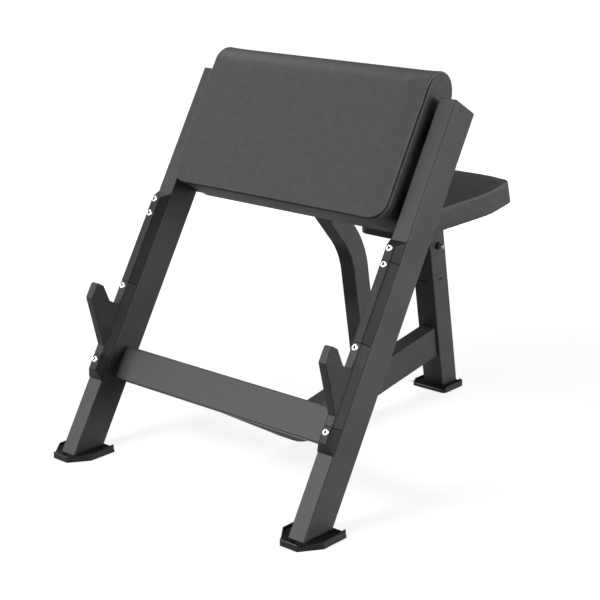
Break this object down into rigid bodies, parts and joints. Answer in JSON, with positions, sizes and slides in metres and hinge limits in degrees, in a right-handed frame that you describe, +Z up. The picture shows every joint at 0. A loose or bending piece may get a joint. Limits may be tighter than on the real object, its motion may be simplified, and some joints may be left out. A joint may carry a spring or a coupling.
{
  "type": "preacher curl bench",
  "caption": "Preacher curl bench with raked legs, a half-round arm pad, guarded bar hooks and a seat that slides on a leaning post and is held by a pull pin.",
  "frame": {"origin": "on the floor, below the centre of the bounding box with the seat at its lowest", "axes": "+X to the right of someone who stands before the arm pad's front and looks towards the seat, +Y from the arm pad back to the seat, +Z up"},
  "size_m": [0.9184, 1.2292, 1.0243],
  "materials": {
    "powder_coat": "matte",
    "guard_plastic": "satin",
    "black_plastic": "matte",
    "rubber": "matte",
    "leatherette": "fine grain",
    "plywood": "plain",
    "bright_steel": "satin"
  },
  "bodies": {
    "frame": {"left_leg": "powder_coat", "right_leg": "powder_coat", "left_leg_cap": "black_plastic", "right_leg_cap": "black_plastic", "front_crossbeam": "powder_coat", "lower_pad_bar": "powder_coat", "upper_pad_bar": "powder_coat", "base_rail": "powder_coat", "bent_support": "powder_coat", "rear_post": "powder_coat", "post_bush": "black_plastic", "pin_housing": "powder_coat", "left_foot_pad": "rubber", "left_foot_plate": "powder_coat", "right_foot_pad": "rubber", "right_foot_plate": "powder_coat", "rear_foot_pad": "rubber", "rear_foot_plate": "powder_coat", "left_bottom_guard": "guard_plastic", "left_bar_hook": "guard_plastic", "left_middle_guard": "guard_plastic", "left_top_guard": "guard_plastic", "right_bottom_guard": "guard_plastic", "right_bar_hook": "guard_plastic", "right_middle_guard": "guard_plastic", "right_top_guard": "guard_plastic", "catch_screws": "bright_steel", "arm_pad_bolts": "bright_steel", "arm_pad_board": "plywood", "arm_pad_cushion": "leatherette"},
    "seat": {"seat_tube": "powder_coat", "seat_tube_glide": "black_plastic", "seat_plate": "powder_coat", "seat_board": "plywood", "seat_cushion": "leatherette", "seat_bolts": "bright_steel"},
    "pull_pin": {"pull_pin": "bright_steel", "pin_knob": "bright_steel"}
  },
  "joints": [
    {"name": "seat_slide", "type": "slide", "parent": "frame", "child": "seat", "axis": [0, -0.1736, 0.9848], "range_m": [0, 0.15]},
    {"name": "pin_pull", "type": "slide", "parent": "frame", "child": "pull_pin", "axis": [1, 0, 0], "range_m": [0, 0.01], "stiffness_N_per_m": 400, "springref_m": -0.02}
  ]
}
